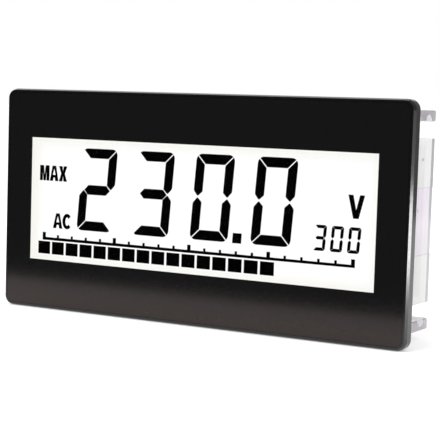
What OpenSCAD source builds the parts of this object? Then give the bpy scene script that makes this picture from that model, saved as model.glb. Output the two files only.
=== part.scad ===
// Slim digital panel meter, 72 x 36 mm bezel, for a rectangular panel cut-out.
// Frame: +X to the right seen from the front, +Z up, +Y towards the back of the panel.
// Y = 0 is the panel's front surface, where the sealing gasket lands. The display faces -Y.

/* [Bezel] */
// Width of the bezel
bezel_w = 72; // [72:0.5:74]
// Height of the bezel
bezel_h = 36; // [36:0.5:38]
// Thickness of the bezel flange
flange_t = 1.5; // [1.4:0.1:1.8]
// Corner radius of the bezel outline
bezel_r = 1.6; // [1.2:0.1:2.4]
// Width of the steep bevel round the front edge of the bezel
bezel_c = 0.2; // [0.1:0.05:0.3]
// Depth of that bevel
bezel_cd = 0.65; // [0.3:0.05:0.9]
// Width of the clear window in the fascia
window_w = 61.5; // [58:0.5:61.5]
// Height of the clear window in the fascia
window_h = 20; // [17:0.5:20]

/* [Gasket] */
// Thickness of the panel gasket
gasket_t = 0.6; // [0.5:0.1:0.8]

/* [Rear case] */
// Width of the case that goes through the panel cut-out
case_w = 67.6; // [67.2:0.1:67.8]
// Height of the case that goes through the panel cut-out
case_h = 33; // [32.8:0.1:33.0]
// Depth of the case behind the panel's front surface
case_d = 11.7; // [11.3:0.05:12.5]
// Half height of the flat side wall between the two clip grooves
side_half = 12.3; // [12.2:0.1:12.5]
// Depth of the clip grooves in the side walls
groove_d = 2.6; // [2.4:0.1:2.7]
// Pitch of the ratchet teeth in the clip grooves
rack_pitch = 1.0; // [0.8:0.1:1.2]
// Thickness of the clear rear cover
cover_t = 1.1; // [0.8:0.05:1.3]

/* [Display] */
// Thickness of each glass of the display cell
glass_t = 0.7; // [0.6:0.05:0.7]
// Thickness of each polariser
polar_t = 0.2; // [0.1:0.05:0.2]
// Thickness of the light guide
guide_t = 2.0; // [1.8:0.1:2.0]

/* [Terminals] */
// Distance between neighbouring poles
pole_pitch = 5.08; // [5.0:0.04:5.2]
// Distance of each terminal block's centre from the middle
block_x = 16; // [13:0.5:18]
// Travel of the wire clamps
clamp_travel = 1.6; // [1.2:0.1:1.6]

/* [Hidden] */
$fn = 32;
e = 0.1;                                // overshoot of cuts

y_flange = -gasket_t;                   // back face of the flange
y_front = y_flange - flange_t;          // front face of the bezel
fascia_t = 0.25;
open_w = 63;                            // opening behind the printed border
open_h = 21;
case_wall = 0.9;
case_end = case_d - cover_t;            // rear edge of the case walls
side_x = case_w / 2;                    // outer face of the side walls
neck_x = side_x - groove_d;             // floor of the clip grooves
lug_z = 14.8;                           // lower edge of the corner rails
in_x = side_x - case_wall;              // inner half width between the grooves
in_z = side_half - case_wall;           // inner half height there
neck_in_x = neck_x - 1.0;
neck_in_z = case_h / 2 - 1.0;

y_cell = y_flange;                      // front face of the display cell
y_rear_glass = y_cell + glass_t;
y_rear_pol = y_rear_glass + glass_t;
y_diffuser = y_rear_pol + polar_t;
y_guide = y_diffuser + 0.2;
y_reflector = y_guide + guide_t;
y_floor = y_reflector + 0.15;
y_board = y_floor + 0.55;               // front face of the main board
board_t = 1.2;
y_parts = y_board + board_t;            // rear face of the main board

boss_x = 27;                            // screw bosses
boss_z = 12.95;

// terminals, measured along Y from the rear face of the main board
tb_half = pole_pitch;                   // half width of a two-pole block
tb_top = -7.3;                          // upper and lower face
tb_bot = -16.3;
tb_h = 8.6;                             // height above the board
screw_z = -11.7;
y_clamp = y_parts + 0.4;                // clamp's lowest face when open
clamp_h = 3.9;
y_bar = y_parts + 2.65;                 // contact bar
y_seat = y_parts + 6.75;                // shoulder that carries the screw head
poles = [block_x - pole_pitch / 2, block_x + pole_pitch / 2,
    -block_x - pole_pitch / 2, -block_x + pole_pitch / 2];

// ---- helpers -------------------------------------------------------------

// extrudes a shape drawn in X and Z from y0 to y1
module slab(y0, y1) translate([0, y1, 0]) rotate([90, 0, 0]) linear_extrude(height = y1 - y0) children();

// rectangle with round corners, drawn about the origin
module rrect(w, h, r) {
    square([w - 2 * r, h], center = true);
    square([w, h - 2 * r], center = true);
    for (sx = [-1, 1], sz = [-1, 1]) translate([sx * (w / 2 - r), sz * (h / 2 - r)]) circle(r = r);
}

// box between two corners
module block(a, b) translate(a) cube(b - a);

// round bar along +Y
module rod(x, z, y0, y1, r, r2 = -1) translate([x, y0, z]) rotate([-90, 0, 0])
    cylinder(h = y1 - y0, r1 = r, r2 = r2 < 0 ? r : r2);

// plate with round corners and a bevel round its front edge, c wide and d deep
module bevelled_plate(w, h, r, c, d, y0, y1) {
    rotate([90, 0, 90]) linear_extrude(height = w - 2 * r, center = true)
        polygon([[y0, -h / 2 + c], [y0 + d, -h / 2], [y1, -h / 2], [y1, h / 2], [y0 + d, h / 2], [y0, h / 2 - c]]);
    linear_extrude(height = h - 2 * r, center = true)
        polygon([[-w / 2 + c, y0], [-w / 2, y0 + d], [-w / 2, y1], [w / 2, y1], [w / 2, y0 + d], [w / 2 - c, y0]]);
    for (sx = [-1, 1], sz = [-1, 1]) {
        rod(sx * (w / 2 - r), sz * (h / 2 - r), y0 + d, y1, r);
        rod(sx * (w / 2 - r), sz * (h / 2 - r), y0, y0 + d, r - c, r);
    }
}

// cross-shaped outline: a wide band in the middle and a narrower, taller one
module cross2d(w1, h1, w2, h2) {
    square([w1, h1], center = true);
    square([w2, h2], center = true);
}

// ---- front ---------------------------------------------------------------

// moulded black frame: flange with a gasket lip, window opening, two snap tongues, four screw bosses
module front_bezel() color([0.05, 0.05, 0.055]) difference() {
    union() {
        bevelled_plate(bezel_w, bezel_h, bezel_r, bezel_c, bezel_cd, y_front, y_flange);
        // lip round the gasket, which closes down on the panel
        slab(y_flange - e, 0) difference() {
            rrect(bezel_w, bezel_h, bezel_r);
            rrect(70.5, 34.8, 1.25);
        }
        for (s = [-1, 1]) {
            // snap tongue along the top and the bottom
            block([-29.8, y_flange - e, s > 0 ? neck_in_z - 0.95 : -neck_in_z + 0.1],
                [29.8, y_flange + 3.8, s > 0 ? neck_in_z - 0.1 : -neck_in_z + 0.95]);
            // barbs that click into the case's slots
            for (x = [-20, 20]) translate([x, 0, 0]) rotate([90, 0, 90]) linear_extrude(height = 7.6, center = true)
                polygon([[y_flange + 1.9, s * (neck_in_z - 0.2)], [y_flange + 1.9, s * (neck_in_z + 0.5)],
                    [y_flange + 2.2, s * (neck_in_z + 0.5)], [y_flange + 3.2, s * (neck_in_z - 0.2)]]);
            for (t = [-1, 1]) rod(t * boss_x, s * boss_z, y_flange - e, y_board, 1.4);
        }
    }
    slab(y_front - e, y_flange + e) rrect(open_w, open_h, 0.5);
    slab(y_front - e, y_front + fascia_t) rrect(bezel_w - 1.1, bezel_h - 1.1, bezel_r - 0.5);
    for (s = [-1, 1], t = [-1, 1]) rod(t * boss_x, s * boss_z, y_flange + 0.6, y_board + e, 0.65);
}

// one printed sheet: black border round a clear window
module front_fascia() color([0.08, 0.08, 0.085])
    slab(y_front, y_front + fascia_t) rrect(bezel_w - 1.2, bezel_h - 1.2, bezel_r - 0.55);

// foam ring between the flange and the panel
module panel_gasket() color([0.16, 0.16, 0.17]) slab(-gasket_t, 0) difference() {
    rrect(70.4, 34.7, 1.2);
    rrect(case_w + 0.1, case_h + 0.1, 0.2);
}

// ---- case ----------------------------------------------------------------

module case_outline(pad = 0) difference() {
    union() {
        square([case_w, 2 * side_half], center = true);
        square([2 * neck_x, case_h], center = true);
        for (sx = [-1, 1], sz = [-1, 1]) translate([sx * (side_x - 3), sz * (case_h / 2 + lug_z) / 2])
            rrect(6, case_h / 2 - lug_z, 0.3);
    }
    for (sx = [-1, 1]) translate([sx * side_x, 0]) square([2 * pad, 10], center = true);
}

// teeth along the floor of one clip groove, for the clip's pawls
module rack(sx, sz) {
    n = floor((case_end - 3.2) / rack_pitch);
    translate([0, 0, sz * (side_half + lug_z) / 2]) linear_extrude(height = 2.2, center = true)
        polygon(concat([[sx * (neck_x + 1), case_end - 0.6], [sx * (neck_x + 1), case_end - 0.6 - n * rack_pitch]],
            [for (i = [0:n - 1]) each [[sx * (neck_x - 0.02), case_end - 0.6 - (n - i) * rack_pitch],
                [sx * (neck_x - 0.35), case_end - 0.6 - (n - i) * rack_pitch + 0.85],
                [sx * (neck_x - 0.02), case_end - 0.6 - (n - i - 1) * rack_pitch]]]));
}

// clear one-piece frame of four walls, with clip grooves and corner rails at both sides
module rear_case() color([0.9, 0.88, 0.93, 0.45]) difference() {
    slab(y_flange, case_end) case_outline(0.05);
    slab(y_flange - e, case_end + e) cross2d(2 * in_x, 2 * in_z, 2 * neck_in_x, 2 * neck_in_z);
    // arched pockets that core out the corner rails
    for (sx = [-1, 1], sz = [-1, 1], y = [4.75, 9.0])
        translate([sx * (neck_x + 2), y, sz * (lug_z - 0.2)]) rotate([0, 90, 0]) cylinder(h = 4, r = 1.25, center = true);
    for (sx = [-1, 1], sz = [-1, 1]) rack(sx, sz);
    // slots for the bezel's barbs
    for (sz = [-1, 1], x = [-20, 20]) block([x - 4, y_flange + 1.85, sz > 0 ? neck_in_z - e : -case_h / 2 - e],
        [x + 4, y_flange + 3.2, sz > 0 ? case_h / 2 + e : -neck_in_z + e]);
    // notches for the two terminal blocks
    for (x = [-block_x, block_x])
        block([x - tb_half - 0.1, y_parts, -case_h / 2 - e], [x + tb_half + 0.1, case_end + e, -neck_in_z + e]);
}

// clear plate welded to the rear edge of the case, with a locating rib inside the walls
module rear_cover() color([0.84, 0.82, 0.88, 0.5]) difference() {
    union() {
        slab(case_end, case_d) case_outline(0.05);
        slab(case_end - 0.9, case_end + e) difference() {
            cross2d(2 * in_x - 0.2, 2 * in_z - 0.2, 2 * neck_in_x - 0.2, 2 * neck_in_z - 0.2);
            cross2d(2 * in_x - 1.6, 2 * in_z - 1.6, 2 * neck_in_x - 1.6, 2 * neck_in_z - 1.6);
        }
    }
    for (x = [-block_x, block_x])
        block([x - tb_half - 0.1, case_end - 1, -case_h / 2 - e], [x + tb_half + 0.1, case_d + e, tb_top + 0.1]);
}

// plain self-adhesive label on the back
module rear_label() color([0.86, 0.86, 0.84]) slab(case_d, case_d + 0.1)
    translate([0, 9.6]) rrect(44, 8, 0.8);

// ---- display -------------------------------------------------------------

module plate(w, h, y0, t, r = 0.2) slab(y0, y0 + t) rrect(w, h, r);

module front_polariser() color([0.8, 0.82, 0.78, 0.4]) plate(62.7, 20.7, y_cell - polar_t, polar_t);
module lcd_front_glass() color([0.8, 0.88, 0.86, 0.35]) plate(64.4, 22.4, y_cell, glass_t);
module lcd_rear_glass() color([0.8, 0.88, 0.86, 0.35]) plate(64, 20.4, y_rear_glass, glass_t);
module rear_polariser() color([0.93, 0.93, 0.9]) plate(63, 20.2, y_rear_pol, polar_t);
module diffuser_film() color([0.95, 0.95, 0.94]) plate(63.6, 20.3, y_diffuser, 0.2);
module light_guide() color([0.9, 0.94, 0.96, 0.6]) plate(61.8, 20.2, y_guide, guide_t, 0.3);
module reflector_film() color([0.97, 0.97, 0.97]) plate(63.8, 20.3, y_reflector, 0.15);

// white tray that locates the cell, the light guide and the contact strips; its end
// walls run back past the main board
module display_frame() color([0.93, 0.93, 0.91]) difference() {
    union() {
        slab(y_flange, y_board) cross2d(65.5, 22.6, 59.4, 2 * neck_in_z - 2.1);
        for (s = [-1, 1]) block([s > 0 ? 32.1 : -32.75, y_board - e, -11.3], [s > 0 ? 32.75 : -32.1, case_end - 1.0, 11.3]);
    }
    slab(y_flange - e, y_rear_glass) cross2d(64.6, 23, 59.3, 22.5);
    slab(y_rear_glass - e, y_floor) square([64.2, 20.5], center = true);
    for (s = [-1, 1]) {
        block([-29.15, y_rear_glass - e, s > 0 ? 10.2 : -11.25], [29.15, y_board + e, s > 0 ? 11.25 : -10.2]);
        // long cores that keep the wings thin
        for (x = [-12.4, 12.4]) block([x - 11.6, y_flange + 0.8, s > 0 ? 12.1 : -13.7], [x + 11.6, y_board + e, s > 0 ? 13.7 : -12.1]);
        for (t = [-1, 1]) block([t * boss_x - 1.7, y_flange - e, s > 0 ? 11.5 : -16], [t * boss_x + 1.7, y_board + e, s > 0 ? 16 : -11.5]);
    }
}

// elastomer strips that join the cell's contact ledges to the main board
module contact_strip(s) color([0.85, 0.4, 0.55])
    block([-29, y_rear_glass, s > 0 ? 10.3 : -11.15], [29, y_board, s > 0 ? 11.15 : -10.3]);

// two narrow boards that carry the lamps at the ends of the light guide
module backlight_boards() color([0.92, 0.93, 0.9])
    for (s = [-1, 1]) block([s > 0 ? 31.55 : -32.0, y_guide, -9.8], [s > 0 ? 32.0 : -31.55, y_reflector, 9.8]);

module backlight_leds() color([0.96, 0.9, 0.55])
    for (s = [-1, 1], z = [-7, 0, 7]) block([s > 0 ? 31 : -31.55, y_guide + 0.3, z - 1.5], [s > 0 ? 31.55 : -31, y_guide + 1.7, z + 1.5]);

// ---- electronics ---------------------------------------------------------

module main_board() color([0.08, 0.36, 0.2]) difference() {
    slab(y_board, y_parts) cross2d(64, 22.2, 59.8, 30.6);
    for (s = [-1, 1], t = [-1, 1]) rod(t * boss_x, s * boss_z, y_board - e, y_parts + e, 0.95);
    for (x = poles) rod(x, -8.4, y_board - e, y_parts + e, 0.55);
}

// pan-head screws with a cross recess
module board_screws() color([0.75, 0.75, 0.76])
    for (s = [-1, 1], t = [-1, 1]) difference() {
        union() {
            rod(t * boss_x, s * boss_z, y_flange + 0.9, y_parts + 0.2, 0.65);
            rod(t * boss_x, s * boss_z, y_parts, y_parts + 0.6, 1.5);
            rod(t * boss_x, s * boss_z, y_parts + 0.6, y_parts + 1.0, 1.5, 1.1);
        }
        for (a = [0, 90]) translate([t * boss_x, y_parts + 0.9, s * boss_z]) rotate([0, a, 0]) cube([1.7, 1.0, 0.4], center = true);
    }

// flat package with gull-wing legs on its four sides
module quad_package(x, z, w, h, n, pitch) {
    block([x - w / 2, y_parts + 0.1, z - w / 2], [x + w / 2, y_parts + 0.1 + h, z + w / 2]);
    for (k = [0:3]) translate([x, 0, z]) rotate([0, 90 * k, 0]) for (i = [0:n - 1])
        translate([w / 2 - e, y_parts, (i - (n - 1) / 2) * pitch - 0.13]) {
            translate([0, 0.55, 0]) cube([0.5, 0.15, 0.26]);
            translate([0.35, 0, 0]) cube([0.15, 0.7, 0.26]);
            translate([0.35, 0, 0]) cube([0.75, 0.15, 0.26]);
        }
}

module microcontroller() color([0.09, 0.09, 0.1]) quad_package(-6.5, 4.2, 10, 1.4, 12, 0.75);

module memory_chip() color([0.1, 0.1, 0.11]) {
    block([5.05, y_parts + 0.1, 3.5], [8.95, y_parts + 1.6, 8.5]);
    for (s = [-1, 1], i = [0:3]) translate([7 + s * 2.35, y_parts, 4.1 + i * 1.27 - 0.2]) {
        translate([-0.5, 0.7, 0]) cube([1.0, 0.2, 0.4]);
        translate([s > 0 ? 0.35 : -0.5, 0, 0]) cube([0.15, 0.9, 0.4]);
        translate([s > 0 ? 0.35 : -1.1, 0, 0]) cube([0.75, 0.15, 0.4]);
    }
}

// metal can of the clock crystal, on its two pads
module crystal() color([0.78, 0.78, 0.76]) {
    slab(y_parts + 0.6, y_parts + 3.4) translate([-20.5, 5]) hull_free_slot(9.6, 3.6);
    slab(y_parts, y_parts + 0.6) translate([-20.5, 5]) square([11.4, 4.4], center = true);
}

// oblong with round ends
module hull_free_slot(w, h) {
    square([w - h, h], center = true);
    for (s = [-1, 1]) translate([s * (w - h) / 2, 0]) circle(d = h);
}

// cylindrical high-voltage resistors of the input divider
module divider_resistors() color([0.35, 0.55, 0.75])
    for (i = [0:4]) translate([13 + i * 3.1, y_parts + 1.1, 1.5]) {
        translate([0, 0, -2.2]) cylinder(h = 4.4, r = 1.0);
        for (z = [-2.9, 2.0]) translate([0, 0, z]) cylinder(h = 0.9, r = 1.1);
    }

module chip_resistors() color([0.12, 0.12, 0.13])
    for (i = [0:5], j = [0:1]) translate([-1.6 + i * 2.0, y_parts, -5.5 + j * 2.7])
        cube([1.25, 0.5, 2.0]);

module chip_capacitors() color([0.72, 0.6, 0.45])
    for (p = [[-15.6, 10.2], [-12.6, 11.6], [-5.8, 11.6], [-2.8, 11.6], [-24, -1], [-21, -1], [12, 7], [15, 7], [18, 7]])
        translate([p[0], y_parts, p[1]]) cube([2.0, 0.9, 1.25]);

// low electrolytic cans on square bases
module supply_capacitors() color([0.8, 0.8, 0.82])
    for (p = [[-25.5, -5.2], [0, -10.6]]) {
        block([p[0] - 2.6, y_parts, p[1] - 2.6], [p[0] + 2.6, y_parts + 0.7, p[1] + 2.6]);
        rod(p[0], p[1], y_parts + 0.7, y_parts + 4.1, 2.4);
        rod(p[0], p[1], y_parts + 4.1, y_parts + 4.4, 2.4, 2.1);
    }

module supply_inductor() color([0.2, 0.2, 0.21]) {
    slab(y_parts, y_parts + 2.8) translate([-14.6, -3.4]) rrect(6.4, 6.4, 1.1);
    rod(-14.6, -3.4, y_parts + 2.8, y_parts + 3.1, 2.3);
}

module bridge_rectifier() color([0.1, 0.1, 0.11]) {
    block([-7.6, y_parts + 0.2, -12.6], [-3.8, y_parts + 2.6, -7.9]);
    for (s = [-1, 1], z = [-11.85, -9.35]) {
        block([s > 0 ? -3.9 : -8.6, y_parts, z], [s > 0 ? -2.8 : -7.5, y_parts + 0.25, z + 0.7]);
        block([s > 0 ? -3.9 : -7.8, y_parts, z], [s > 0 ? -3.6 : -7.5, y_parts + 1.2, z + 0.7]);
    }
}

module surge_varistor() color([0.15, 0.28, 0.5])
    slab(y_parts, y_parts + 3.6) translate([26.2, -5.6]) rrect(5, 6.6, 0.5);

// ---- terminals -----------------------------------------------------------

// two-pole block with open chambers for the clamps
module terminal_body(xc) color([0.1, 0.42, 0.25]) difference() {
    block([xc - tb_half, y_parts, tb_bot], [xc + tb_half, y_parts + tb_h, tb_top]);
    for (x = [xc - pole_pitch / 2, xc + pole_pitch / 2]) {
        // chamber, open towards the board
        block([x - 2.0, y_parts - e, -14.5], [x + 2.0, y_parts + 6.05, -8.9]);
        // wire entry
        block([x - 1.25, y_parts + 1.0, tb_bot - e], [x + 1.25, y_parts + 3.5, -14.4]);
        // pocket for the contact's leg
        block([x - 0.5, y_parts - e, -9], [x + 0.5, y_parts + 3.35, -8.0]);
        // neck and head of the screw
        rod(x, screw_z, y_parts + 6, y_seat + e, 1.25);
        rod(x, screw_z, y_seat, y_parts + tb_h + e, 1.85);
    }
    // groove between the poles, and steps at the upper corner
    block([xc - 0.3, y_parts + tb_h - 0.8, tb_bot - e], [xc + 0.3, y_parts + tb_h + e, tb_top + e]);
    block([xc - tb_half - e, y_parts + tb_h - 1.6, tb_top - 1.2], [xc + tb_half + e, y_parts + tb_h + e, tb_top + e]);
}

// tinned bars that the wires are clamped against, with their solder legs
module terminal_contacts() color([0.82, 0.8, 0.7])
    for (x = poles) {
        block([x - 1.0, y_bar, -13.8], [x + 1.0, y_bar + 0.6, -9.0]);
        block([x - 0.35, y_bar, -9.1], [x + 0.35, y_bar + 0.6, -8.1]);
        block([x - 0.35, y_board + 0.05, -8.75], [x + 0.35, y_bar + 0.6, -8.1]);
    }

// slotted captive screw
module terminal_screw(k) color([0.8, 0.8, 0.81]) difference() {
    union() {
        rod(poles[k], screw_z, y_parts + 3.3, y_seat + 0.1, 1.15);
        rod(poles[k], screw_z, y_seat + 0.02, y_seat + 1.0, 1.7);
        rod(poles[k], screw_z, y_seat + 1.0, y_seat + 1.3, 1.7, 1.4);
    }
    translate([poles[k], y_seat + 1.2, screw_z]) cube([4, 1.2, 0.55], center = true);
}

// steel box that the screw draws up against the contact bar
module wire_clamp(k) color([0.7, 0.71, 0.7]) difference() {
    block([poles[k] - 1.85, y_clamp, -14.0], [poles[k] + 1.85, y_clamp + clamp_h, -9.4]);
    block([poles[k] - 1.25, y_clamp + 0.6, -14.1], [poles[k] + 1.25, y_clamp + 2.9, -9.3]);
    rod(poles[k], screw_z, y_clamp + 2.8, y_clamp + clamp_h + e, 1.2);
}

front_bezel();
front_fascia();
panel_gasket();
rear_case();
rear_cover();
rear_label();
front_polariser();
lcd_front_glass();
lcd_rear_glass();
rear_polariser();
diffuser_film();
light_guide();
reflector_film();
display_frame();
contact_strip(1);  // contact_strip_top
contact_strip(-1);  // contact_strip_bottom
backlight_boards();
backlight_leds();
main_board();
board_screws();
microcontroller();
memory_chip();
crystal();
divider_resistors();
chip_resistors();
chip_capacitors();
supply_capacitors();
supply_inductor();
bridge_rectifier();
surge_varistor();
terminal_body(block_x);  // input_terminal_body
terminal_body(-block_x);  // supply_terminal_body
terminal_contacts();
terminal_screw(0);  // terminal_screw_1
terminal_screw(1);  // terminal_screw_2
terminal_screw(2);  // terminal_screw_3
terminal_screw(3);  // terminal_screw_4
wire_clamp(0);  // wire_clamp_1
wire_clamp(1);  // wire_clamp_2
wire_clamp(2);  // wire_clamp_3
wire_clamp(3);  // wire_clamp_4
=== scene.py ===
import bpy, bmesh, math
from mathutils import Matrix, Vector


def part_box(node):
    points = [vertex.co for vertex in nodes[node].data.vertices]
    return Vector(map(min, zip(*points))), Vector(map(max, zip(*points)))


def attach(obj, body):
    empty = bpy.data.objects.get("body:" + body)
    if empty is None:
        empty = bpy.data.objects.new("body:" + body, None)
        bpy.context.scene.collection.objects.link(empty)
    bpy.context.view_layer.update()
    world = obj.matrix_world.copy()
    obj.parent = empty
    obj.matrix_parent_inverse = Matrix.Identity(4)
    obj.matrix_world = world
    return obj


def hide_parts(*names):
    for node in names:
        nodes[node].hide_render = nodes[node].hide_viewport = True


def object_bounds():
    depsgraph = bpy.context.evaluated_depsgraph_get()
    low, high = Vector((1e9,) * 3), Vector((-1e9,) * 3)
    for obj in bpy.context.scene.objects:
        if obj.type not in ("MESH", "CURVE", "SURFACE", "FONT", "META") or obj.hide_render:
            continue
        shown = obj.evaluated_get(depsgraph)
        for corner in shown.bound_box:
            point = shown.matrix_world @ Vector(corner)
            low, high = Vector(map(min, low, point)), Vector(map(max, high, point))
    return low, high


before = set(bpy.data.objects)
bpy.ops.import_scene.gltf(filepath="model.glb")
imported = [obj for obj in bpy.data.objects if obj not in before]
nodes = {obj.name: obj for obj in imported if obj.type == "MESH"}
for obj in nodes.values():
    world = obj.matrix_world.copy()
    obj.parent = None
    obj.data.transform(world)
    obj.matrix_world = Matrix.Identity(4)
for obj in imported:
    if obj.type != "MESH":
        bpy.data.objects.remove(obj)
cad_box = [list(map(float, c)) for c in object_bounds()]
scene = bpy.context.scene
MM = 0.001
ROOT = "meter"

# ---------------------------------------------------------------- camera
cam_data = bpy.data.cameras.new("camera")
cam = bpy.data.objects.new("camera", cam_data)
scene.collection.objects.link(cam)
cam_data.sensor_width = 36.0
cam_data.lens = 114.10
cam_data.clip_start = 0.005
cam_data.clip_end = 50
cam_data.dof.use_dof = False
yaw, pitch, roll = 0.51796, 0.08227, 0.03119
back = Vector((math.sin(yaw) * math.cos(pitch), -math.cos(yaw) * math.cos(pitch), math.sin(pitch)))
right = Vector((math.cos(yaw), math.sin(yaw), 0.0))
up = right.cross(-back)
r2 = math.cos(roll) * right + math.sin(roll) * up
u2 = -math.sin(roll) * right + math.cos(roll) * up
m = Matrix.Identity(4)
for i in range(3):
    m[i][0], m[i][1], m[i][2] = r2[i], u2[i], back[i]
front_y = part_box("front_bezel")[0][1]
m[0][3], m[1][3], m[2][3] = 0.109775, front_y - 0.183697, 0.016308
cam.matrix_world = m
scene.camera = cam

# ---------------------------------------------------------------- colour management
scene.view_settings.view_transform = "Standard"
scene.view_settings.look = "None"
scene.view_settings.exposure = 0.0
scene.view_settings.gamma = 1.0


# ---------------------------------------------------------------- materials
class Mat:
    """One procedural material built round a Principled shader."""

    def __init__(self, name, base, rough=0.4, metal=0.0, spec=0.5, alpha=1.0, coat=0.0, coat_rough=0.1, ior=1.5):
        self.m = bpy.data.materials.new(name)
        self.m.use_nodes = True
        self.nt = self.m.node_tree
        self.n, self.l = self.nt.nodes, self.nt.links
        self.b = next(x for x in self.n if x.type == "BSDF_PRINCIPLED")
        self.b.inputs["Base Color"].default_value = (*base, 1)
        self.b.inputs["Roughness"].default_value = rough
        self.b.inputs["Metallic"].default_value = metal
        self.b.inputs["Specular IOR Level"].default_value = spec
        self.b.inputs["IOR"].default_value = ior
        self.b.inputs["Alpha"].default_value = alpha
        self.b.inputs["Coat Weight"].default_value = coat
        self.b.inputs["Coat Roughness"].default_value = coat_rough
        self.base = base
        tc = self.n.new("ShaderNodeTexCoord")
        self.obj = tc.outputs["Object"]
        self.height = None
        self.dist = 0

    def scaled(self, sx, sy, sz):
        v = self.n.new("ShaderNodeMapping")
        v.inputs["Scale"].default_value = (sx, sy, sz)
        self.l.new(self.obj, v.inputs["Vector"])
        return v.outputs["Vector"]

    def noise(self, scale, detail=3.0, rough=0.5, stretch=None):
        t = self.n.new("ShaderNodeTexNoise")
        t.inputs["Scale"].default_value = scale
        t.inputs["Detail"].default_value = detail
        t.inputs["Roughness"].default_value = rough
        self.l.new(self.scaled(*stretch) if stretch else self.obj, t.inputs["Vector"])
        return t.outputs["Fac"]

    def ramp(self, fac, p0, c0, p1, c1):
        r = self.n.new("ShaderNodeValToRGB")
        r.color_ramp.elements[0].position, r.color_ramp.elements[0].color = p0, (*c0, 1)
        r.color_ramp.elements[1].position, r.color_ramp.elements[1].color = p1, (*c1, 1)
        self.l.new(fac, r.inputs["Fac"])
        return r.outputs["Color"]

    def math(self, op, a, b=0.0, clamp=False):
        x = self.n.new("ShaderNodeMath")
        x.operation = op
        x.use_clamp = clamp
        for i, v in enumerate((a, b)):
            if isinstance(v, (int, float)):
                x.inputs[i].default_value = v
            else:
                self.l.new(v, x.inputs[i])
        return x.outputs[0]

    def map(self, v, a, b, c, d, smooth=False):
        x = self.n.new("ShaderNodeMapRange")
        x.interpolation_type = "SMOOTHSTEP" if smooth else "LINEAR"
        for i, k in enumerate((a, b, c, d)):
            x.inputs[1 + i].default_value = k
        self.l.new(v, x.inputs[0])
        return x.outputs[0]

    def mix(self, fac, a, b):
        x = self.n.new("ShaderNodeMix")
        x.data_type = "RGBA"
        if isinstance(fac, (int, float)):
            x.inputs["Factor"].default_value = fac
        else:
            self.l.new(fac, x.inputs["Factor"])
        for s, v in ((x.inputs[6], a), (x.inputs[7], b)):
            if isinstance(v, tuple):
                s.default_value = (*v, 1)
            else:
                self.l.new(v, s)
        return x.outputs[2]

    def pos(self):
        s = self.n.new("ShaderNodeSeparateXYZ")
        self.l.new(self.obj, s.inputs[0])
        return s.outputs

    def color(self, out):
        self.l.new(out, self.b.inputs["Base Color"])
        return self

    def vary(self, amount=0.06, scale=900, detail=4):
        """Small uneven tone over the whole surface."""
        lo = tuple(max(0, c * (1 - amount)) for c in self.base)
        hi = tuple(min(1, c * (1 + amount)) for c in self.base)
        return self.color(self.ramp(self.noise(scale, detail), 0.3, lo, 0.7, hi))

    def rough(self, lo, hi, scale=1500, detail=3, stretch=None):
        r = self.map(self.noise(scale, detail, stretch=stretch), 0.3, 0.7, lo, hi)
        self.l.new(r, self.b.inputs["Roughness"])
        return self

    def bump(self, scale, dist, detail=2, strength=1.0, stretch=None, src=None):
        bp = self.n.new("ShaderNodeBump")
        bp.inputs["Strength"].default_value = strength
        bp.inputs["Distance"].default_value = dist
        self.l.new(src if src is not None else self.noise(scale, detail, stretch=stretch), bp.inputs["Height"])
        prev = self.b.inputs["Normal"]
        if prev.is_linked:
            self.l.new(prev.links[0].from_socket, bp.inputs["Normal"])
        self.l.new(bp.outputs["Normal"], self.b.inputs["Normal"])
        return self


def clear(mat):
    mat.m.surface_render_method = "BLENDED" if hasattr(mat.m, "surface_render_method") else None
    return mat


M = {}

# black moulded frame: fine satin mould texture
x = Mat("bezel_black", (0.0056, 0.0055, 0.0057), 0.20, spec=0.5)
x.vary(0.12, 1200).rough(0.14, 0.24, 5000).bump(26000, 2.2e-6, 3)
M["bezel"] = x.m

# printed fascia: deep gloss black behind clear film, with a painted floor reflection that turns it brownish towards
# the bottom edge
x = Mat("fascia_print", (0.0056, 0.0055, 0.0056), 0.14, spec=0.34)
z = x.pos()[2]
# painted reflection: low masks the bottom band of the face, where the brownish colour stands in for the floor mirrored
# in the gloss
low = x.map(z, -0.0105, -0.0170, 0.0, 1.0, True)
n = x.noise(700, 3)
x.color(x.mix(x.math("MULTIPLY", low, x.map(n, 0.3, 0.7, 0.85, 1.1)), (0.0056, 0.0055, 0.0056), (0.0155, 0.0085, 0.0065)))
x.rough(0.11, 0.19, 2500).bump(1800, 1.5e-6, 2)
M["fascia"] = x.m

x = Mat("fascia_window", (0.01, 0.01, 0.01), 0.06, alpha=0.035, spec=0.5)
x.rough(0.04, 0.08, 2500).bump(1800, 1.0e-6, 2)
M["window"] = x.m

# foam ring
x = Mat("gasket_foam", (0.02, 0.02, 0.022), 0.9, spec=0.2)
x.vary(0.35, 6000).bump(9000, 4e-5, 3)
M["gasket"] = x.m

# lit display: even white, faintly warm towards its rim
x = Mat("display_white", (0.90, 0.90, 0.885), 0.35, spec=0.15)
px, _, pz = x.pos()
ex = x.map(x.math("ABSOLUTE", px), 0.0285, 0.0312, 0.0, 1.0, True)
ez = x.map(x.math("ABSOLUTE", pz), 0.0080, 0.0102, 0.0, 1.0, True)
edge = x.math("MAXIMUM", ex, ez)
cloud = x.map(x.noise(160, 2), 0.3, 0.7, 0.97, 1.0)
em = x.mix(edge, (1.0, 1.0, 0.995), (0.955, 0.945, 0.90))
x.l.new(em, x.b.inputs["Emission Color"])
x.b.inputs["Emission Strength"].default_value = 0.88
x.color(x.mix(cloud, (0.15, 0.15, 0.147), (0.17, 0.17, 0.167)))
M["display"] = x.m

x = Mat("segment_black", (0.0006, 0.0006, 0.0007), 0.6, spec=0.0)
x.vary(0.3, 4000).bump(9000, 5e-7, 2)
M["segment"] = x.m

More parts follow.
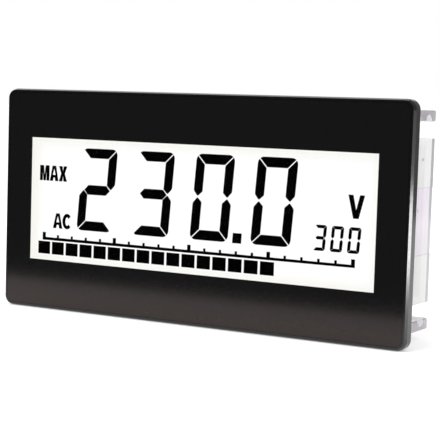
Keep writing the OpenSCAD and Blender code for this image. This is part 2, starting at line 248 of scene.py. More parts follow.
# clear case; thicker rails read as mauve grey
def clear_plastic(name, base, alpha, rough=(0.10, 0.22), spec=0.5):
    x = Mat(name, base, 0.15, alpha=alpha, spec=spec)
    x.vary(0.025, 500, 3)
    x.rough(rough[0], rough[1], 1300, 3)
    x.bump(420, 1.2e-5, 2).bump(7000, 9e-7, 2)
    return x.m

x = Mat("case_clear", (0.68, 0.66, 0.71), 0.15, alpha=0.80, spec=0.28)
_, cy, cz = x.pos()
az = x.math("ABSOLUTE", cz)
mid = x.map(az, 0.0047, 0.0053, 1.0, 0.0, True)
cloud = x.map(x.noise(420, 3), 0.3, 0.7, 0.0, 1.0)
tone = x.mix(mid, x.mix(cloud, (0.745, 0.745, 0.73), (0.78, 0.765, 0.78)), x.mix(cloud, (0.77, 0.70, 0.75), (0.75, 0.695, 0.79)))
# faint moulding marks on the side walls
spot = None
for sy, sz, ry, rz in ((7.3, 9.2, 0.50, 0.24), (6.1, 1.7, 0.26, 0.26)):
    u = x.math("DIVIDE", x.math("SUBTRACT", cy, sy * MM), ry * MM)
    v = x.math("DIVIDE", x.math("SUBTRACT", cz, sz * MM), rz * MM)
    r = x.math("ADD", x.math("MULTIPLY", u, u), x.math("MULTIPLY", v, v))
    k = x.map(r, 0.6, 1.3, 0.55, 0.0, True)
    spot = k if spot is None else x.math("MAXIMUM", spot, k)
line = x.map(x.math("ABSOLUTE", x.math("SUBTRACT", az, 0.0050)), 0.0, 0.00013, 0.28, 0.0, True)
# painted shade: low darkens the side walls below the middle to offset the floor light they reflect; shaded carries
# this darker tone
low = x.map(cz, 0.0015, -0.0035, 0.0, 1.0, True)
shaded = x.mix(low, tone, x.mix(mid, (0.655, 0.66, 0.645), (0.665, 0.62, 0.67)))
x.color(x.mix(x.math("MAXIMUM", spot, line), shaded, (0.30, 0.29, 0.31)))
x.rough(0.10, 0.22, 1300, 3)
x.bump(420, 1.2e-5, 2).bump(7000, 9e-7, 2)
M["case"] = x.m
M["case_pale"] = clear_plastic("case_clear_pocket", (0.86, 0.85, 0.88), 0.90)
M["case_rail"] = clear_plastic("case_clear_rail", (0.335, 0.305, 0.34), 0.88)
M["cover"] = clear_plastic("cover_clear", (0.55, 0.54, 0.60), 0.06, (0.05, 0.12))
x = Mat("cover_clear_edge", (0.34, 0.33, 0.35), 0.15, alpha=0.92, spec=0.5)
k = x.map(x.math("ABSOLUTE", x.pos()[2]), 0.0045, 0.0055, 1.0, 0.0, True)
fine = x.map(x.noise(700, 3), 0.3, 0.7, 0.0, 1.0)
x.color(x.mix(k, x.mix(fine, (0.325, 0.315, 0.335), (0.35, 0.34, 0.36)), x.mix(fine, (0.38, 0.365, 0.40), (0.41, 0.39, 0.425))))
x.rough(0.10, 0.20, 1300).bump(7000, 9e-7, 2)
M["cover_edge"] = x.m

x = Mat("label_film", (0.80, 0.80, 0.78), 0.45, spec=0.4)
x.vary(0.02, 1500).rough(0.38, 0.52, 4000).bump(16000, 1.5e-6, 2)
M["label"] = x.m
x = Mat("label_ink", (0.02, 0.02, 0.022), 0.5, spec=0.3)
x.vary(0.25, 6000)
M["ink"] = x.m
x = Mat("mask_ink", (0.82, 0.82, 0.78), 0.55, spec=0.3)
x.vary(0.08, 6000)
M["silk"] = x.m

x = Mat("tray_white", (0.86, 0.86, 0.86), 0.45, spec=0.4)
x.vary(0.03, 900).bump(14000, 2e-6, 2)
M["tray"] = x.m
x = Mat("white_film", (0.88, 0.88, 0.87), 0.5)
x.vary(0.02, 900)
M["film"] = x.m
x = Mat("guide_acrylic", (0.85, 0.90, 0.92), 0.08, alpha=0.5)
x.rough(0.05, 0.12)
M["guide"] = x.m
x = Mat("cell_glass", (0.80, 0.88, 0.86), 0.04, alpha=0.3)
x.rough(0.03, 0.06)
M["glass"] = x.m
x = Mat("contact_elastomer", (0.72, 0.30, 0.38), 0.6)
w = x.n.new("ShaderNodeTexWave")
w.inputs["Scale"].default_value = 1600
x.l.new(x.obj, w.inputs["Vector"])
x.color(x.mix(w.outputs["Fac"], (0.72, 0.30, 0.38), (0.12, 0.08, 0.09)))
M["elastomer"] = x.m
x = Mat("lamp_body", (0.92, 0.80, 0.35), 0.3)
x.vary(0.05, 3000)
M["lamp"] = x.m

# circuit board: green mask over copper, with a faint trace pattern
x = Mat("board_green", (0.012, 0.13, 0.05), 0.28, spec=0.5)
br = x.n.new("ShaderNodeTexBrick")
br.inputs["Scale"].default_value = 420
br.inputs["Mortar Size"].default_value = 0.02
br.inputs["Color1"].default_value = (1, 1, 1, 1)
br.inputs["Color2"].default_value = (0.55, 0.55, 0.55, 1)
br.inputs["Mortar"].default_value = (0, 0, 0, 1)
mp = x.n.new("ShaderNodeMapping")
mp.inputs["Rotation"].default_value = (math.radians(90), 0, 0)
x.l.new(x.obj, mp.inputs["Vector"])
x.l.new(mp.outputs["Vector"], br.inputs["Vector"])
weave = x.noise(9000, 2)
tr = x.mix(br.outputs["Color"], (0.010, 0.105, 0.042), (0.016, 0.165, 0.062))
x.color(x.mix(x.map(weave, 0.3, 0.7, 0.0, 0.35), tr, (0.008, 0.085, 0.035)))
x.rough(0.22, 0.36, 5000).bump(0, 6e-6, src=br.outputs["Color"]).bump(9000, 2e-6, 2)
M["board"] = x.m

def metal(name, base, lo, hi, scale=3000, stretch=None, bump=1e-6):
    x = Mat(name, base, lo, metal=1.0)
    x.vary(0.07, 2500, 4)
    x.rough(lo, hi, scale, 4, stretch)
    x.bump(scale * 2, bump, 3, stretch=stretch)
    return x.m

M["steel"] = metal("screw_steel", (0.50, 0.50, 0.50), 0.22, 0.40)
M["clamp"] = metal("clamp_steel", (0.52, 0.53, 0.52), 0.28, 0.45, 2500, (1, 0.15, 1))
M["tin"] = metal("contact_tin", (0.62, 0.60, 0.55), 0.25, 0.42)
M["can"] = metal("can_metal", (0.52, 0.52, 0.50), 0.20, 0.34, 2500, (0.1, 1, 1))
M["alu"] = metal("can_aluminium", (0.60, 0.60, 0.61), 0.24, 0.38)
M["solder"] = metal("solder_tin", (0.60, 0.60, 0.59), 0.18, 0.34)

def plastic(name, base, lo, hi, vary=0.08, grain=14000, depth=3e-6, spec=0.45):
    x = Mat(name, base, (lo + hi) / 2, spec=spec)
    x.vary(vary, 1300, 4).rough(lo, hi, 3500).bump(grain, depth, 3)
    return x.m

M["chip"] = plastic("chip_black", (0.012, 0.012, 0.013), 0.42, 0.58, 0.15, spec=0.3)
M["res"] = plastic("resistor_blue", (0.13, 0.30, 0.55), 0.25, 0.40)
M["chipres"] = plastic("chip_resistor", (0.018, 0.018, 0.02), 0.3, 0.45)
M["ceramic"] = plastic("chip_ceramic", (0.50, 0.37, 0.24), 0.4, 0.55)
M["ferrite"] = plastic("ferrite", (0.035, 0.035, 0.038), 0.5, 0.7, 0.2, spec=0.3)
M["varistor"] = plastic("varistor_blue", (0.03, 0.10, 0.30), 0.2, 0.34)
M["green"] = plastic("terminal_green", (0.030, 0.22, 0.085), 0.34, 0.50, 0.10, 12000, 4e-6)
M["canbase"] = plastic("can_base", (0.02, 0.02, 0.022), 0.4, 0.55)


def paint(node, *mats, pick=None):
    """Gives a CAD node its materials; pick(centre, normal) returns the index of a face's material."""
    o = nodes[node]
    o.data.materials.clear()
    for mt in mats:
        o.data.materials.append(mt)
    for p in o.data.polygons:
        p.material_index = pick(p.center / MM, p.normal) if pick else 0
        p.use_smooth = p.use_smooth
    return o


board_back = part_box("main_board")[1][1] / MM

paint("front_bezel", M["bezel"])
paint("panel_gasket", M["gasket"])
def case_pick(c, n):
    if abs(c.z) > 14.7 and abs(c.x) > 33.6:
        return 1
    if abs(c.z) > 12.4 and abs(c.x) > 30.8:
        return 2
    return 0


paint("rear_case", M["case"], M["case_rail"], M["case_pale"], pick=case_pick)
paint("rear_cover", M["cover"], M["cover_edge"], pick=lambda c, n: 0 if abs(n.y) > 0.7 else 1)
paint("rear_label", M["label"])
paint("front_polariser", M["display"])
for k in ("lcd_front_glass", "lcd_rear_glass"):
    paint(k, M["glass"])
for k in ("rear_polariser", "diffuser_film", "reflector_film"):
    paint(k, M["film"])
paint("light_guide", M["guide"])
paint("display_frame", M["tray"])
paint("contact_strip_top", M["elastomer"])
paint("contact_strip_bottom", M["elastomer"])
paint("backlight_boards", M["film"])
paint("backlight_leds", M["lamp"])
paint("main_board", M["board"])
paint("board_screws", M["steel"])
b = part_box("microcontroller")
mc = Vector(((b[0][0] + b[1][0]) / 2, 0, (b[0][2] + b[1][2]) / 2)) / MM
paint("microcontroller", M["chip"], M["tin"], pick=lambda c, n: 1 if max(abs(c.x - mc.x), abs(c.z - mc.z)) > 5.02 else 0)
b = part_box("memory_chip")
mm = (b[0][0] + b[1][0]) / 2 / MM
paint("memory_chip", M["chip"], M["tin"], pick=lambda c, n: 1 if abs(c.x - mm) > 1.97 else 0)
paint("crystal", M["can"])
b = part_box("divider_resistors")
dz = (b[0][2] + b[1][2]) / 2 / MM
paint("divider_resistors", M["res"], M["tin"], pick=lambda c, n: 1 if abs(c.z - dz) > 2.0 else 0)
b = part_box("chip_resistors")
rows = (b[0][2] / MM + 1.0, b[1][2] / MM - 1.0)
def islands(node):
    """Bounding boxes (mm) of a node's separate bodies."""
    me = nodes[node].data
    key, par = {}, []
    ids = []
    for v in me.vertices:
        k = tuple(round(c / MM * 500) for c in v.co)
        if k not in key:
            key[k] = len(par)
            par.append(len(par))
        ids.append(key[k])

    def root(i):
        while par[i] != i:
            par[i] = par[par[i]]
            i = par[i]
        return i

    for e in me.edges:
        a, b = root(ids[e.vertices[0]]), root(ids[e.vertices[1]])
        if a != b:
            par[a] = b
    bb = {}
    for v, i in zip(me.vertices, ids):
        r = root(i)
        c = [q / MM for q in v.co]
        lo, hi = bb.setdefault(r, (list(c), list(c)))
        for j in range(3):
            lo[j], hi[j] = min(lo[j], c[j]), max(hi[j], c[j])
    return sorted(bb.values())


def end_caps(node):
    """True for faces at the two metal ends of each small chip part."""
    parts = []
    for lo, hi in islands(node):
        w, h = hi[0] - lo[0], hi[2] - lo[2]
        parts.append((lo, hi, 0 if w > h else 2))

    def pick(c, n):
        for lo, hi, ax in parts:
            if all(lo[j] - 0.01 <= c[j] <= hi[j] + 0.01 for j in (0, 2)):
                if min(abs(c[ax] - lo[ax]), abs(c[ax] - hi[ax])) < 0.02:
                    return 1
        return 0
    return pick


paint("chip_resistors", M["chipres"], M["solder"], pick=end_caps("chip_resistors"))
paint("chip_capacitors", M["ceramic"], M["solder"], pick=end_caps("chip_capacitors"))
paint("supply_capacitors", M["alu"], M["canbase"], pick=lambda c, n: 1 if c.y < board_back + 0.72 else 0)
paint("supply_inductor", M["ferrite"])
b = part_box("bridge_rectifier")
bx = (b[0][0] + b[1][0]) / 2 / MM
paint("bridge_rectifier", M["chip"], M["tin"], pick=lambda c, n: 1 if abs(c.x - bx) > 1.92 else 0)
paint("surge_varistor", M["varistor"])
paint("input_terminal_body", M["green"])
paint("supply_terminal_body", M["green"])
paint("terminal_contacts", M["tin"])
for k in (1, 2, 3, 4):
    paint(f"terminal_screw_{k}", M["steel"])
    paint(f"wire_clamp_{k}", M["clamp"])


def soften(node, width, angle=35, seg=2):
    """Rounds the sharp edges of a CAD node a little; its own mesh stays as it is."""
    o = nodes[node]
    w = o.modifiers.new("weld", "WELD")
    w.merge_threshold = 2e-6
    bv = o.modifiers.new("edge", "BEVEL")
    bv.width = width * MM
    bv.segments = seg
    bv.limit_method = "ANGLE"
    bv.angle_limit = math.radians(angle)
    bv.harden_normals = False
    return o


# ---------------------------------------------------------------- flat printed and displayed shapes
def new_piece(name, me, mat, body=ROOT):
    o = bpy.data.objects.new(name, me)
    scene.collection.objects.link(o)
    o.data.materials.clear()
    o.data.materials.append(mat)
    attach(o, body)
    return o


def flat(name, loops, y0, y1, mat, face=-1):
    """Closed outlines in X and Z (mm), filled and given a thickness from y0 to y1. Inner outlines cut holes."""
    cu = bpy.data.curves.new(name + "_outline", "CURVE")
    cu.dimensions = "2D"
    cu.fill_mode = "BOTH"
    cu.extrude = abs(y1 - y0) * MM / 2
    for lp in loops:
        sp = cu.splines.new("POLY")
        sp.points.add(len(lp) - 1)
        for p, (a, b) in zip(sp.points, lp):
            p.co = (a * MM, b * MM, 0, 1)
        sp.use_cyclic_u = True
    tmp = bpy.data.objects.new(name + "_tmp", cu)
    scene.collection.objects.link(tmp)
    bpy.context.view_layer.update()
    me = bpy.data.meshes.new_from_object(tmp.evaluated_get(bpy.context.evaluated_depsgraph_get()))
    bpy.data.objects.remove(tmp)
    me.name = name
    me.transform(Matrix.Translation((0, (y0 + y1) / 2 * MM, 0)) @ Matrix.Rotation(math.radians(90), 4, "X"))
    bm = bmesh.new()
    bm.from_mesh(me)
    bmesh.ops.remove_doubles(bm, verts=bm.verts, dist=1e-7)
    bmesh.ops.recalc_face_normals(bm, faces=bm.faces)
    bm.to_mesh(me)
    bm.free()
    return new_piece(name, me, mat)


def rrect(x0, z0, x1, z1, r, n=6):
    pts = []
    for cx, cz, a0 in ((x1 - r, z1 - r, 0), (x0 + r, z1 - r, 90), (x0 + r, z0 + r, 180), (x1 - r, z0 + r, 270)):
        for i in range(n + 1):
            a = math.radians(a0 + 90 * i / n)
            pts.append((cx + r * math.cos(a), cz + r * math.sin(a)))
    return pts


def rect(x0, z0, x1, z1):
    return [(x0, z0), (x1, z0), (x1, z1), (x0, z1)]


# fascia: a printed border and the clear window in one sheet
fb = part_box("front_fascia")
fx, fz = fb[1][0] / MM, fb[1][2] / MM
fy0, fy1 = fb[0][1] / MM, fb[1][1] / MM
WXL, WXR, WZ = -30.95, 30.82, 10.0
WZC = 0.1
border = flat("fascia_border", [rrect(-fx, -fz, fx, fz, 1.05, 10), rect(WXL, WZC - WZ, WXR, WZC + WZ)], fy0 + 0.002, fy1, M["fascia"])
pane = flat("fascia_pane", [rect(WXL, WZC - WZ, WXR, WZC + WZ)], fy0 + 0.01, fy1, M["window"])
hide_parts("front_fascia")

# white spacer ring between the fascia and the display
ry0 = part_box("front_polariser")[0][1] / MM
flat("window_spacer", [rect(-31.48, -10.48, 31.48, 10.48), rect(-31.2, -10.2, 31.2, 10.2)], fy1 + 0.02, ry0 - 0.02, M["display"])

# ---- display content, just in front of the polariser
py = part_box("front_polariser")[0][1] / MM
Y1, Y0 = py - 0.005, py - 0.04
SL = 0.073


def digit(segs, cx, cz, w, h, t, g, rc, tip, zmid):
    """Seven-segment outlines about (cx, cz): half width w, half height h, bar thickness t, gap g, outer corner
    radius rc, half distance tip between the upright bars' ends."""
    s = g / 2
    d = s * math.sqrt(2)
    da = math.degrees(s / rc)
    iw, ih, mid = w - t, h - t, w - t / 2
    out = []

    def put(pts):
        out.append([(cx + a + SL * b, cz + b) for a, b in pts])

    def arc(a0, a1, n=5):
        return [(w - rc + rc * math.cos(math.radians(a0 + (a1 - a0) * i / n)), h - rc + rc * math.sin(math.radians(a0 + (a1 - a0) * i / n))) for i in range(n + 1)]

    for name in segs:
        if name in "ad":
            half = [(iw - d, ih)] + arc(45 + da, 90)
            pts = half + [(-p, q) for p, q in half[::-1]]
            put(pts if name == "a" else [(p, -q) for p, q in pts])
        for seg, sx, sz in (("b", 1, 1), ("f", -1, 1), ("c", 1, -1), ("e", -1, -1)):
            if name == seg:
                lo = abs(tip) - sz * zmid
                up = arc(0, 45 - da)
                pts = [(iw, lo + t * 0.42), (mid - t * 0.04, lo), (mid + t * 0.06, lo), (w - t * 0.08, lo + t * 0.42), (w, lo + t * 0.56)] + up + [(iw, ih - d)]
                put([(sx * p, sz * q) for p, q in pts])
        if name == "g":
            put([(-iw + d * 0.8, zmid - t / 2), (iw - d * 0.8, zmid - t / 2), (mid - d * 1.0, zmid), (iw - d * 0.8, zmid + t / 2), (-iw + d * 0.8, zmid + t / 2), (-mid + d * 1.0, zmid)])
    return out


BIG = dict(w=3.385, h=6.67, t=1.56, g=0.16, rc=1.05, tip=0.16, zmid=-0.02)
loops = []
for i, segs in enumerate(("abged", "abgcd", "abcdef", "abcdef")):
    loops += digit(segs, -18.60 + 10.73 * i, 2.0 + (0.0, 0.02, 0.09, 0.13)[i], **BIG)
flat("lcd_digits", loops, Y0, Y1, M["segment"])
SMALL = dict(w=0.97, h=1.92, t=0.49, g=0.03, rc=0.42, tip=0.07, zmid=0.0)
loops = []
for i, segs in enumerate(("abgcd", "abcdef", "abcdef")):
    loops += digit(segs, 21.38 + 2.76 * i, -2.72, **SMALL)
flat("lcd_range_digits", loops, Y0, Y1, M["segment"])
flat("lcd_point", [[(6.60, -4.62), (8.17, -4.62), (8.24, -3.06), (6.70, -3.06)]], Y0, Y1, M["segment"])


def glyph(ch, x0, z0, w, h, s):
    """Bold plain capitals drawn as outlines; s is the stroke's width."""
    P = lambda *pts: [(x0 + a * w, z0 + b * h) for a, b in pts]
    q = s / w
    v = s / h
    if ch == "M":
        return [P((0, 0), (q, 0), (q, 0.70), (0.5 - q * 0.42, 0), (0.5 + q * 0.42, 0), (1 - q, 0.70), (1 - q, 0), (1, 0), (1, 1), (1 - q * 1.35, 1), (0.5, 0.34), (q * 1.35, 1), (0, 1))]
    if ch == "A":
        return [P((0, 0), (q * 1.08, 0), (q * 1.08 + 0.075, 0.23), (1 - q * 1.08 - 0.075, 0.23), (1 - q * 1.08, 0), (1, 0), (0.5 + q * 0.62, 1), (0.5 - q * 0.62, 1)),
                P((0.335, 0.40), (0.665, 0.40), (0.5, 0.83))]
    if ch == "X":
        k = q * 0.62
        return [P((0, 0), (q * 1.2, 0), (0.5, 0.36), (1 - q * 1.2, 0), (1, 0), (0.5 + k, 0.51), (1, 1), (1 - q * 1.2, 1), (0.5, 0.66), (q * 1.2, 1), (0, 1), (0.5 - k, 0.51))]
    if ch == "V":
        return [P((0, 1), (0.30, 1), (0.50, 0.36), (0.71, 1), (1, 1), (0.665, 0), (0.335, 0))]
    if ch == "C":
        o, inn = [], []
        for i in range(25):
            a = math.radians(42 + (318 - 42) * i / 24)
            o.append((0.5 + 0.53 * math.cos(a), 0.5 + 0.515 * math.sin(a)))
            inn.append((0.5 + (0.53 - q) * math.cos(a), 0.5 + (0.515 - v) * math.sin(a)))
        return [P(*(o + inn[::-1]))]


letters = []
for ch, x0, w in (("M", -30.06, 1.90), ("A", -28.04, 1.72), ("X", -26.22, 1.62)):
    letters += glyph(ch, x0, 3.04, w, 2.50, 0.57)
for ch, x0, w in (("A", -27.20, 1.88), ("C", -25.26, 1.74)):
    letters += glyph(ch, x0, -4.70, w, 2.46, 0.57)
letters += glyph("V", 25.72, 0.46, 2.62, 3.46, 0.80)
flat("lcd_letters", letters, Y0, Y1, M["segment"])

# scale line with its ticks in one outline
x_l, x_r, pitch = -28.95, 26.85, 2.79
pts = [(x_l - 0.31, -6.77), (x_r + 0.31, -6.72)]
for i in range(20, -1, -1):
    c = x_l + pitch * i
    major = i % 5 == 0
    hw = 0.31 if i in (0, 20) else 0.30 if major else 0.20
    top = -5.48 if major else -5.84
    pts += [(c + hw, -6.28 if i != 20 else top), (c + hw, top), (c - hw, top), (c - hw, -6.30 if i != 0 else top)]
clean = []
for p in pts:
    if not clean or (abs(p[0] - clean[-1][0]) > 1e-6 or abs(p[1] - clean[-1][1]) > 1e-6):
        clean.append(p)
flat("lcd_scale", [clean], Y0, Y1, M["segment"])
flat("lcd_bar", [rect(-30.10 + 2.777 * i, -9.06, -30.10 + 2.777 * i + 2.38, -6.99) for i in range(16)], Y0, Y1, M["segment"])

# ---------------------------------------------------------------- board details
def domes(name, spots, mat, y=None, seg=14, rings=4):
    """Low rounded mounds of solder: (x, z, radius, height) in mm."""
    y = board_back if y is None else y
    bm = bmesh.new()
    for cx, cz, r, h in spots:
        loops = []
        for j in range(rings):
            a = math.pi / 2 * j / rings
            rr, yy = r * math.cos(a) ** 1.3, h * math.sin(a)
            loops.append([bm.verts.new(((cx + rr * math.cos(2 * math.pi * i / seg)) * MM, (y + yy) * MM, (cz + rr * math.sin(2 * math.pi * i / seg)) * MM)) for i in range(seg)])
        top = bm.verts.new((cx * MM, (y + h) * MM, cz * MM))
        for A, B in zip(loops, loops[1:]):
            for i in range(seg):
                bm.faces.new((A[i], A[(i + 1) % seg], B[(i + 1) % seg], B[i]))
        for i in range(seg):
            bm.faces.new((loops[-1][i], loops[-1][(i + 1) % seg], top))
        bm.faces.new(loops[0][::-1])
    bmesh.ops.recalc_face_normals(bm, faces=bm.faces)
    me = bpy.data.meshes.new(name)
    bm.to_mesh(me)
    bm.free()
    for p in me.polygons:
        p.use_smooth = True
    return new_piece(name, me, mat)


def ring(x0, z0, x1, z1, w, r=0.15):
    return [rrect(x0 - w, z0 - w, x1 + w, z1 + w, r + w, 3), rrect(x0, z0, x1, z1, r, 3)]


silk, pads, solder = [], [], []
for node in ("chip_resistors", "chip_capacitors"):
    for lo, hi in islands(node):
        w, h = hi[0] - lo[0], hi[2] - lo[2]
        if w > 6 or h > 6:
            continue
        if w < h:
            for zz in (lo[2] - 0.28, hi[2] - 0.02):
                pads.append(rect(lo[0] + 0.04, zz, hi[0] - 0.04, zz + 0.30))
        else:
            for xx in (lo[0] - 0.28, hi[0] - 0.02):
                pads.append(rect(xx, lo[2] + 0.04, xx + 0.30, hi[2] - 0.04))
for node in ("microcontroller", "memory_chip", "crystal", "supply_inductor", "bridge_rectifier", "surge_varistor"):
    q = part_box(node)
    silk += ring(q[0][0] / MM - 0.22, q[0][2] / MM - 0.22, q[1][0] / MM + 0.22, q[1][2] / MM + 0.22, 0.13)
for lo, hi in islands("supply_capacitors"):
    cx, cz, r = (lo[0] + hi[0]) / 2, (lo[2] + hi[2]) / 2, (hi[0] - lo[0]) / 2 + 0.25
    circ = lambda k: [(cx + k * math.cos(math.radians(6 * i)), cz + k * math.sin(math.radians(6 * i))) for i in range(60)]
    silk += [circ(r + 0.13), circ(r)]
    silk.append(rect(cx + r + 0.35, cz + 0.9, cx + r + 0.95, cz + 1.03))
    silk.append(rect(cx + r + 0.585, cz + 0.665, cx + r + 0.715, cz + 1.265))
for lo, hi in islands("divider_resistors"):
    w, h = hi[0] - lo[0], hi[2] - lo[2]
    if h > 2.0:
        cx = (lo[0] + hi[0]) / 2
        for zz in (lo[2] - 0.15, hi[2] + 0.15):
            solder.append((cx, zz, 0.62, 0.34))
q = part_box("microcontroller")
silk.append([(q[0][0] / MM - 0.95 + 0.26 * math.cos(math.radians(20 * i)), q[1][2] / MM + 0.1 + 0.26 * math.sin(math.radians(20 * i))) for i in range(18)])
# through holes of the board: solder at the terminal blocks' pins and a scatter of vias
for k, tx in ((1, 13.46), (2, 18.54), (3, -18.54), (4, -13.46)):
    solder.append((tx, -6.35, 0.72, 0.40))
vias = []
seed = 7
for i in range(90):
    seed = (seed * 1103515245 + 12345) % 2147483648
    vx = -29 + 58 * ((seed >> 8) % 1000) / 1000
    seed = (seed * 1103515245 + 12345) % 2147483648
    vz = -6.2 + 17 * ((seed >> 8) % 1000) / 1000
    vias.append((round(vx * 2) / 2, round(vz * 2) / 2))
occupied = []
for node in ("microcontroller", "memory_chip", "crystal", "supply_inductor", "bridge_rectifier", "surge_varistor", "input_terminal_body", "supply_terminal_body"):
    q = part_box(node)
    occupied.append((q[0][0] / MM - 0.6, q[0][2] / MM - 0.6, q[1][0] / MM + 0.6, q[1][2] / MM + 0.6))
for node in ("chip_resistors", "chip_capacitors", "divider_resistors", "supply_capacitors", "board_screws"):
    for lo, hi in islands(node):
        occupied.append((lo[0] - 0.7, lo[2] - 0.7, hi[0] + 0.7, hi[2] + 0.7))
for sx, sz, r, h in solder:
    occupied.append((sx - 1, sz - 1, sx + 1, sz + 1))
free = sorted({v for v in vias if abs(v[1]) < 10.6 and not any(a <= v[0] <= c and b <= v[1] <= d for a, b, c, d in occupied)})
domes("board_vias", [(a, b, 0.24, 0.05) for a, b in free], M["tin"], seg=10, rings=2)
if solder:
    domes("board_solder", solder, M["solder"])
if pads:
    flat("board_pads", pads, board_back, board_back + 0.09, M["solder"])
flat("board_legend", silk, board_back, board_back + 0.02, M["silk"])

for node, w in (("input_terminal_body", 0.16), ("supply_terminal_body", 0.16), ("supply_inductor", 0.18), ("surge_varistor", 0.25),
                ("bridge_rectifier", 0.08), ("memory_chip", 0.05), ("crystal", 0.22), ("supply_capacitors", 0.16), ("rear_cover", 0.10)):
    soften(node, w)
for k in (1, 2, 3, 4):
    soften(f"wire_clamp_{k}", 0.10)

# ---------------------------------------------------------------- label print on the back
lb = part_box("rear_label")
ly = lb[1][1] / MM
LX0, LX1, LZ0, LZ1 = lb[0][0] / MM, lb[1][0] / MM, lb[0][2] / MM, lb[1][2] / MM


def stroke(pts, w):
    """One bar from point to point, as an outline."""
    (x0, z0), (x1, z1) = pts
    d = math.hypot(x1 - x0, z1 - z0)
    nx, nz = -(z1 - z0) / d * w / 2, (x1 - x0) / d * w / 2
    return [(x0 + nx, z0 + nz), (x0 - nx, z0 - nz), (x1 - nx, z1 - nz), (x1 + nx, z1 + nz)]


def back_print(name, loops, y, mat):
    """Outlines drawn as they read from behind."""
    return flat(name, [[(-a, b) for a, b in lp] for lp in loops], y, y + 0.015, mat)


NUM = {
    1: [[(0.34, 0), (0.62, 0), (0.62, 1), (0.40, 1), (0.12, 0.80), (0.22, 0.64), (0.34, 0.73)]],
    2: [[(0, 0), (1, 0), (1, 0.17), (0.36, 0.17), (0.98, 0.60), (1, 0.80), (0.80, 1), (0.20, 1), (0, 0.80), (0.02, 0.68), (0.24, 0.68), (0.30, 0.83), (0.70, 0.83), (0.76, 0.72), (0.70, 0.62), (0, 0.15)]],
    3: [[(0, 0.30), (0, 0.14), (0.18, 0), (0.80, 0), (1, 0.16), (1, 0.42), (0.86, 0.52), (1, 0.62), (1, 0.84), (0.80, 1), (0.18, 1), (0, 0.86), (0, 0.72), (0.22, 0.72), (0.30, 0.84), (0.70, 0.84), (0.77, 0.76), (0.77, 0.66), (0.68, 0.59), (0.36, 0.59), (0.36, 0.44), (0.68, 0.44), (0.77, 0.37), (0.77, 0.24), (0.70, 0.16), (0.30, 0.16), (0.22, 0.30)]],
    4: [[(0.58, 0), (0.80, 0), (0.80, 0.22), (1, 0.22), (1, 0.38), (0.80, 0.38), (0.80, 1), (0.56, 1), (0, 0.40), (0, 0.22), (0.58, 0.22)], [(0.24, 0.38), (0.58, 0.38), (0.58, 0.74)]],
}


def num(k, cx, z0, h):
    w = h * 0.62
    return [[(cx + (a - 0.5) * w, z0 + b * h) for a, b in lp] for lp in NUM[k]]


term = {}
for k in (1, 2, 3, 4):
    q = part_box(f"terminal_screw_{k}")
    term[k] = (q[0][0] + q[1][0]) / 2 / MM
ink = []
zt = LZ0 + 0.55
for k, tx in term.items():
    ink += num(k, -tx, zt, 1.35)
# a plain rule over each pair, a wave for the measured voltage and a solid bar over three dashes for the supply
for a, b in ((1, 2), (3, 4)):
    c0, c1 = sorted((-term[a], -term[b]))
    ink.append(rect(c0 - 0.9, zt + 1.85, c1 + 0.9, zt + 2.02))
cx = -(term[1] + term[2]) / 2
wave_t, wave_b = [], []
for i in range(33):
    a = i / 32
    zz = zt + 3.45 + 0.62 * math.sin(2 * math.pi * a)
    wave_t.append((cx - 1.7 + 3.4 * a, zz + 0.13))
    wave_b.append((cx - 1.7 + 3.4 * a, zz - 0.13))
ink.append(wave_t + wave_b[::-1])
cx = -(term[3] + term[4]) / 2
ink.append(rect(cx - 1.7, zt + 3.55, cx + 1.7, zt + 3.78))
for i in range(3):
    ink.append(rect(cx - 1.7 + 1.27 * i, zt + 3.0, cx - 1.7 + 1.27 * i + 0.86, zt + 3.22))
ink += glyph("V", cx + 2.5, zt + 2.75, 1.0, 1.3, 0.26)
ink += glyph("V", -(term[1] + term[2]) / 2 + 2.5, zt + 2.75, 1.0, 1.3, 0.26)
# frame line round the label
ink2 = [rrect(LX0 + 0.45, LZ0 + 0.32, LX1 - 0.45, LZ1 - 0.32, 0.5), rrect(LX0 + 0.57, LZ0 + 0.44, LX1 - 0.57, LZ1 - 0.44, 0.4)]
back_print("label_marks", ink, ly, M["ink"])
back_print("label_frame", ink2, ly, M["ink"])

# ---------------------------------------------------------------- stage
floor_z = cad_box[0][2]
me = bpy.data.meshes.new("floor")
bm = bmesh.new()
bmesh.ops.create_grid(bm, x_segments=4, y_segments=4, size=6)
bm.to_mesh(me)
bm.free()
floor = bpy.data.objects.new("floor", me)
floor.location = (0, 0, floor_z)
scene.collection.objects.link(floor)
x = Mat("floor_pale", (0.86, 0.86, 0.86), 0.6, spec=0.1)
x.vary(0.01, 6)
x.b.inputs["Emission Color"].default_value = (1, 1, 1, 1)
x.b.inputs["Emission Strength"].default_value = 0.25
me.materials.append(x.m)

world = bpy.data.worlds.new("studio")
scene.world = world
world.use_nodes = True
bg = world.node_tree.nodes["Background"]
bg.inputs["Color"].default_value = (1, 1, 1, 1)
bg.inputs["Strength"].default_value = 1.0


def area(name, loc, target, sx, sy, power, color=(1, 1, 1), glossy_only=False):
    ld = bpy.data.lights.new(name, "AREA")
    ld.shape = "RECTANGLE"
    ld.size, ld.size_y = sx, sy
    ld.energy = power
    ld.color = color
    o = bpy.data.objects.new(name, ld)
    o.location = loc
    o.rotation_euler = (Vector(target) - Vector(loc)).to_track_quat("-Z", "Y").to_euler()
    scene.collection.objects.link(o)
    o.visible_camera = False
    if glossy_only:
        o.visible_diffuse = False
        o.visible_transmission = False
    return o


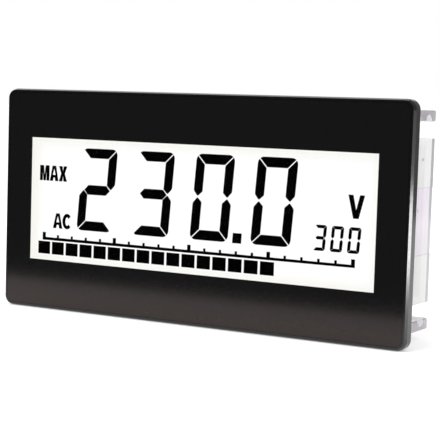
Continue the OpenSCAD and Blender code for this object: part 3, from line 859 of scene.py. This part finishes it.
area("key", (-0.25, -0.35, 0.55), (0, 0, 0), 0.5, 0.4, 2.2)
area("fill", (0.5, -0.2, 0.3), (0, 0, 0), 0.4, 0.4, 0.8)

# black flag off to the front left: the face mirrors it, and the floor below it
def card(name, pts, mat):
    me = bpy.data.meshes.new(name)
    me.from_pydata([tuple(p) for p in pts], [], [(0, 1, 2, 3)])
    o = bpy.data.objects.new(name, me)
    me.materials.append(mat)
    scene.collection.objects.link(o)
    for k in ("visible_camera", "visible_diffuse", "visible_transmission", "visible_shadow", "visible_volume_scatter"):
        setattr(o, k, False)
    return o


x = Mat("flag_black", (0.002, 0.002, 0.002), 0.9, spec=0.0)
x.vary(0.2, 20)
card("flag_front", [(-0.30, -0.031, floor_z + 0.0002), (0.16, -0.031, floor_z + 0.0002), (0.16, -0.031, 0.40), (-0.30, -0.031, 0.40)], x.m)


def strip_light(name, edge_z0, edge_z1, width, dist, radiance, color=(1, 1, 1)):
    """Tall narrow light seen only in the bevel of the frame's right edge."""
    ex, ey = cad_box[1][0], front_y + 0.0005
    v = Vector((ex, ey, 0)) - cam.matrix_world.translation
    v.z = 0
    v.normalize()
    nrm = Vector((0.65, -0.2, 0)).normalized()
    r = v - 2 * v.dot(nrm) * nrm
    c = Vector((ex, ey, (edge_z0 + edge_z1) / 2 * MM - 0.082 * dist * MM)) + r * dist * MM
    h = (edge_z1 - edge_z0) * MM
    return area(name, c, (ex, ey, c.z), width * MM, h, radiance * math.pi * width * MM * h, color, True)


strip_light("edge_light", -9.5, 5.8, 15.0, 60.0, 16.0)
strip_light("edge_light_low", -13.4, -9.5, 15.0, 60.0, 5.0)
strip_light("edge_light_high", 5.8, 24.0, 15.0, 60.0, 0.9)
x = Mat("flag_grey", (0.05, 0.05, 0.05), 0.9, spec=0.0)
x.vary(0.2, 20)
x.b.inputs["Emission Color"].default_value = (1, 1, 1, 1)
x.b.inputs["Emission Strength"].default_value = 0.22
card("flag_side", [(0.022, 0.085, -0.0045), (0.130, 0.034, -0.0045), (0.130, 0.034, 0.25), (0.022, 0.085, 0.25)], x.m)
